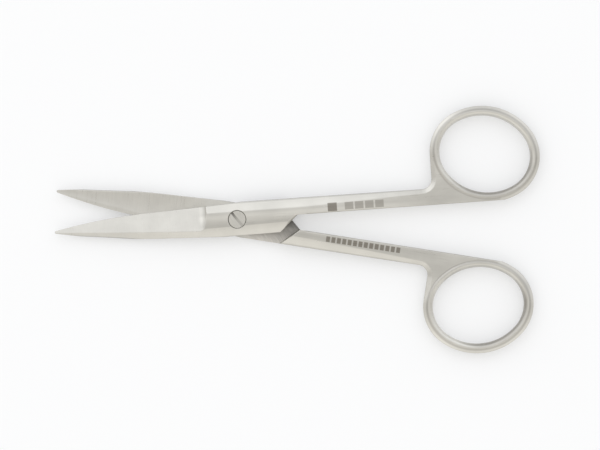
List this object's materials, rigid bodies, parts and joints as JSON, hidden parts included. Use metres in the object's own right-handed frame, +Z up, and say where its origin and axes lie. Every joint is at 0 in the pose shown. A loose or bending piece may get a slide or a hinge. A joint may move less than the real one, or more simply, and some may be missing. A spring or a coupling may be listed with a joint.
{
  "type": "surgical scissors",
  "caption": "Straight surgical scissors with sharp tips, a screwed lap joint and two oval finger rings.",
  "frame": {"origin": "on the pivot axis, at the flat outer face of the rear half on which the scissors lie", "axes": "+X along the scissors towards the finger rings, midway between the two open halves; +Z up, from the rear half through the screw's head"},
  "size_m": [0.1279, 0.0658, 0.0042],
  "materials": {
    "steel": "satin ground stainless steel",
    "screw_steel": "bright turned stainless steel"
  },
  "bodies": {
    "rear": {"rear_half": "steel", "pivot_screw": "screw_steel"},
    "front": {"front_half": "steel"}
  },
  "joints": [
    {"name": "pivot", "type": "hinge", "parent": "rear", "child": "front", "pos_m": [0, 0, 0.0021], "axis": [0, 0, 1], "range_deg": [-13, 77]}
  ]
}
